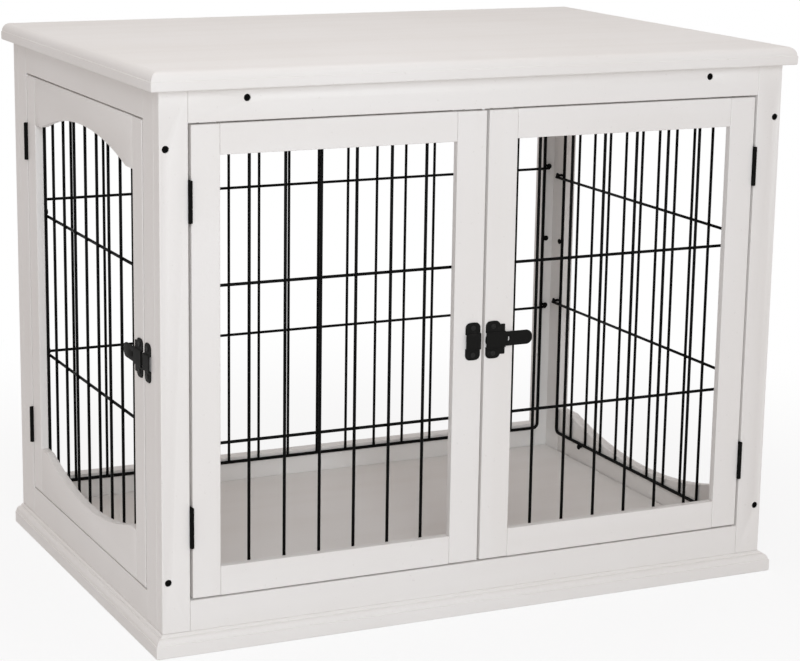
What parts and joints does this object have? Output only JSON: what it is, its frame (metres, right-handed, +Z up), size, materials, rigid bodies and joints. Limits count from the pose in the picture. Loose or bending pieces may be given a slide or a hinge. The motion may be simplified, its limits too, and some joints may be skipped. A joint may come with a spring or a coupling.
{
  "type": "dog crate end table",
  "caption": "Painted wooden end table that is a dog crate, with wire grille walls, a pair of front doors, a side door and slide latches.",
  "frame": {"origin": "on the floor, under the middle of the table top", "axes": "+X along the length, to the right seen from the front; -Y is the front with the two doors; +Z up"},
  "size_m": [0.822, 0.568, 0.661],
  "materials": {
    "body_paint": "satin warm white paint on wood",
    "top_paint": "satin warm white paint on wood",
    "wire_black": "satin black powder coat on steel wire",
    "fittings_black": "satin black coating on steel"
  },
  "bodies": {
    "cabinet": {"back_bottom_rail": "body_paint", "back_grille": "wire_black", "back_stile_left": "body_paint", "back_stile_right": "body_paint", "back_top_rail": "body_paint", "base_rail_back": "body_paint", "base_rail_front": "body_paint", "base_rail_left": "body_paint", "base_rail_right": "body_paint", "floor_board": "body_paint", "frame_bolts": "fittings_black", "frame_hinges": "fittings_black", "front_bottom_rail": "body_paint", "front_stile_left": "body_paint", "front_stile_right": "body_paint", "front_top_rail": "body_paint", "left_back_post": "body_paint", "left_bottom_rail": "body_paint", "left_front_post": "body_paint", "left_top_rail": "body_paint", "right_back_post": "body_paint", "right_bottom_rail": "body_paint", "right_front_post": "body_paint", "right_grille": "wire_black", "right_top_rail": "body_paint", "side_keeper": "fittings_black", "table_top_board": "top_paint", "top_batten_left": "body_paint", "top_batten_right": "body_paint", "top_lipping_back": "top_paint", "top_lipping_front": "top_paint", "top_lipping_left": "top_paint", "top_lipping_right": "top_paint", "wall_grille_screws": "fittings_black"},
    "front_door_left": {"left_door_bottom_rail": "body_paint", "left_door_grille": "wire_black", "left_door_hinge_stile": "body_paint", "left_door_hinges": "fittings_black", "left_door_keeper": "fittings_black", "left_door_latch_stile": "body_paint", "left_door_screws": "fittings_black", "left_door_top_rail": "body_paint"},
    "front_door_right": {"right_door_bottom_rail": "body_paint", "right_door_grille": "wire_black", "right_door_guides": "fittings_black", "right_door_hinge_stile": "body_paint", "right_door_hinges": "fittings_black", "right_door_latch_stile": "body_paint", "right_door_screws": "fittings_black", "right_door_top_rail": "body_paint"},
    "side_door": {"side_door_bottom_rail": "body_paint", "side_door_grille": "wire_black", "side_door_guides": "fittings_black", "side_door_hinge_stile": "body_paint", "side_door_hinges": "fittings_black", "side_door_latch_stile": "body_paint", "side_door_screws": "fittings_black", "side_door_top_rail": "body_paint"},
    "front_latch": {"front_latch_bolt": "fittings_black"},
    "side_latch": {"side_latch_bolt": "fittings_black"}
  },
  "joints": [
    {"name": "front_left_hinge", "type": "hinge", "parent": "cabinet", "child": "front_door_left", "pos_m": [-0.36295, -0.2735, 0.3325], "axis": [0, 0, -1], "range_deg": [0, 170]},
    {"name": "front_right_hinge", "type": "hinge", "parent": "cabinet", "child": "front_door_right", "pos_m": [0.36295, -0.2735, 0.3325], "axis": [0, 0, 1], "range_deg": [0, 170]},
    {"name": "side_hinge", "type": "hinge", "parent": "cabinet", "child": "side_door", "pos_m": [-0.4, 0.2205, 0.3325], "axis": [0, 0, -1], "range_deg": [0, 170]},
    {"name": "front_latch_slide", "type": "slide", "parent": "front_door_right", "child": "front_latch", "axis": [-1, 0, 0], "range_m": [0, 0.033]},
    {"name": "side_latch_slide", "type": "slide", "parent": "side_door", "child": "side_latch", "axis": [0, -1, 0], "range_m": [0, 0.033]}
  ]
}
